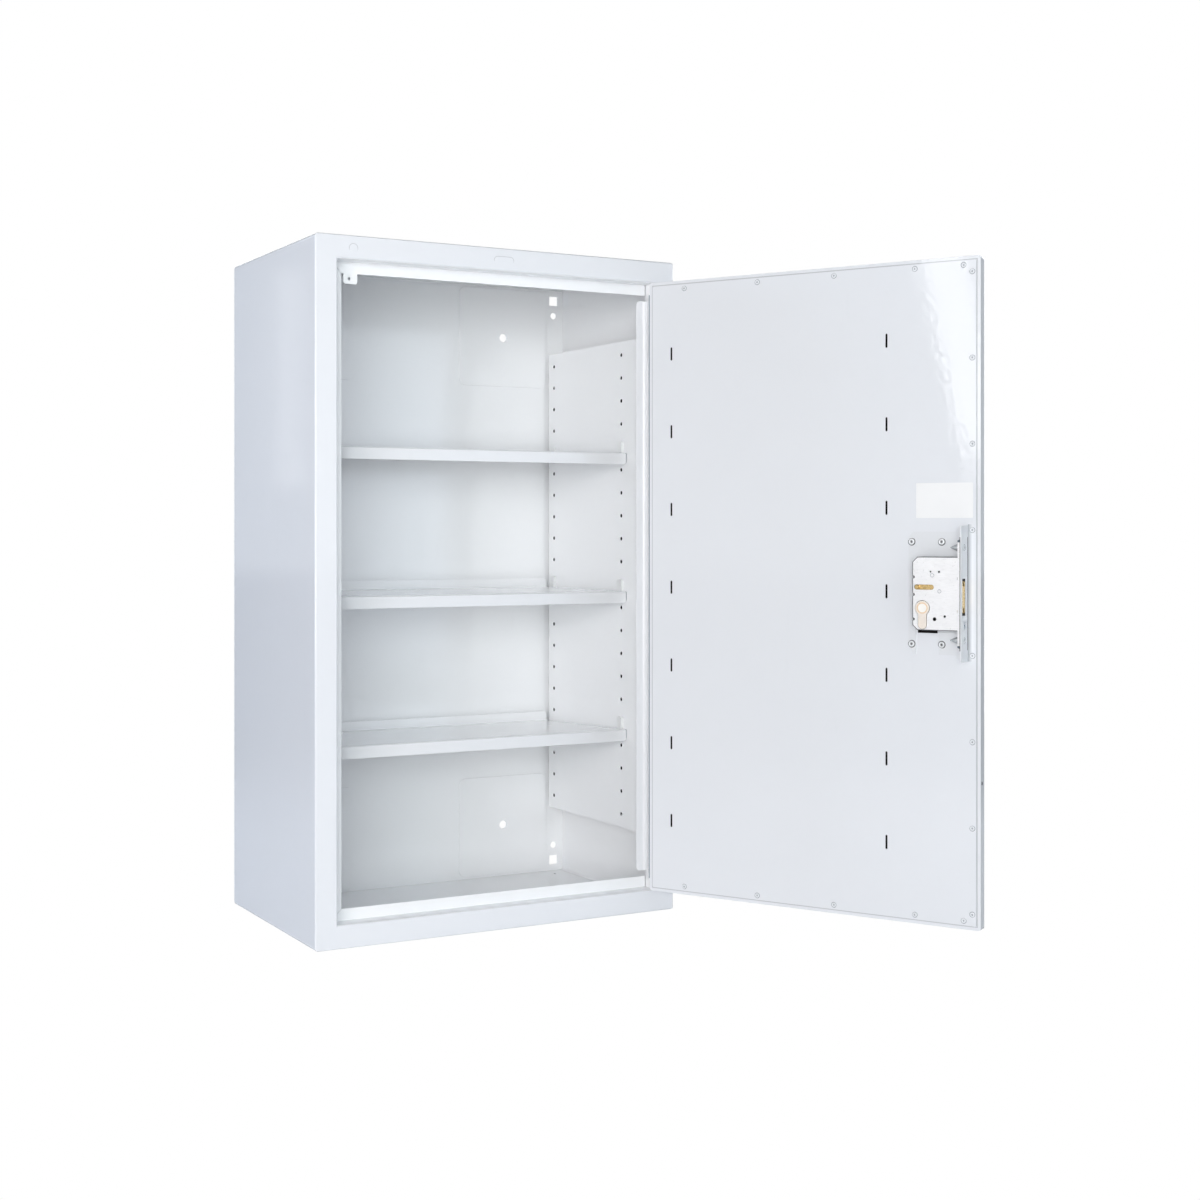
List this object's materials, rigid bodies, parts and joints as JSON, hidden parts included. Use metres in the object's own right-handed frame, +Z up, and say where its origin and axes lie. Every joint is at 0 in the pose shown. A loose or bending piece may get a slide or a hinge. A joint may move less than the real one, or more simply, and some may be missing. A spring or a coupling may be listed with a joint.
{
  "type": "lockable medicine cabinet",
  "caption": "Wall-hung white steel medicine cabinet with pegged shelves, a lined door on a continuous hinge and a cylinder claw-bolt lock.",
  "frame": {"origin": "middle of the four wall-bolt holes, on the back face of the cabinet", "axes": "+Z up, +Y out of the back towards the wall, +X to the hinge side; the door faces -Y and is drawn open"},
  "size_m": [0.6829, 0.6943, 0.85],
  "materials": {
    "shell": "glossy white powder coat on folded steel sheet, slight orange peel",
    "inside": "glossy white powder coat on steel sheet",
    "shelf": "glossy white powder coat on folded steel sheet",
    "lining": "glossy white powder coat",
    "plug": "pressed steel plug painted over with the shell",
    "keep": "zinc-plated steel",
    "clip": "moulded white plastic",
    "hinge": "steel leaf painted with the door",
    "pin": "drawn steel wire",
    "rose": "satin steel",
    "bracket": "light grey-white powder coat",
    "rivet": "bright steel blind rivet",
    "case": "bright zinc-plated pressed steel",
    "forend": "zinc-plated steel strip",
    "screw": "bright zinc-plated screw",
    "cylinder": "machined brass",
    "plug_brass": "turned brass",
    "cam": "sintered steel",
    "bolt": "drawn brass",
    "steel_pin": "hardened steel pin",
    "claw": "hardened steel"
  },
  "bodies": {
    "carcass": {"body_wrap": "shell", "back_panel": "inside", "wall_plates": "inside", "stop_frame": "inside", "hinge_stop": "inside", "left_liner": "inside", "right_liner": "inside", "round_plug": "plug", "slot_plug": "plug", "keep_plate": "keep", "top_shelf": "shelf", "middle_shelf": "shelf", "bottom_shelf": "shelf", "top_clips": "clip", "middle_clips": "clip", "bottom_clips": "clip", "hinge_frame_leaf": "hinge", "hinge_pin": "pin"},
    "door": {"hinge_door_leaf": "hinge", "door_pan": "shell", "door_lining": "lining", "lining_rivets": "lining", "escutcheon": "rose", "lock_bracket": "bracket", "bracket_rivets": "rivet", "lock_case": "case", "case_cover": "case", "case_posts": "case", "lock_forend": "forend", "forend_screws": "screw", "cylinder_body": "cylinder", "cylinder_screw": "screw"},
    "bolt": {"lock_bolt": "bolt", "guide_pin": "bolt", "claw_pins": "steel_pin"},
    "key_plug": {"cylinder_plug": "plug_brass", "cylinder_cam": "cam"},
    "upper_claw": {"upper_claw": "claw"},
    "lower_claw": {"lower_claw": "claw"}
  },
  "joints": [
    {"name": "door_swing", "type": "hinge", "parent": "carcass", "child": "door", "pos_m": [0.22, -0.303, 0], "axis": [0, 0, 1], "range_deg": [-119.5, 60]},
    {"name": "bolt_slide", "type": "slide", "parent": "door", "child": "bolt", "axis": [0.4924, -0.8704, 0], "range_m": [0, 0.018]},
    {"name": "key_turn", "type": "hinge", "parent": "door", "child": "key_plug", "pos_m": [0.38886, -0.64004, -0.018], "axis": [-0.8704, -0.4924, 0], "range_deg": [0, 360]},
    {"name": "upper_claw_swing", "type": "hinge", "parent": "bolt", "child": "upper_claw", "pos_m": [0.39452, -0.67878, 0.0103], "axis": [-0.8704, -0.4924, 0], "range_deg": [0, 80]},
    {"name": "lower_claw_swing", "type": "hinge", "parent": "bolt", "child": "lower_claw", "pos_m": [0.39452, -0.67878, -0.0197], "axis": [0.8704, 0.4924, 0], "range_deg": [0, 80]}
  ],
  "couplings": [
    {"joint": "key_turn", "follows": "bolt_slide", "rad_per_m": 349.07},
    {"joint": "upper_claw_swing", "follows": "bolt_slide", "rad_per_m": 77.57},
    {"joint": "lower_claw_swing", "follows": "bolt_slide", "rad_per_m": 77.57}
  ]
}
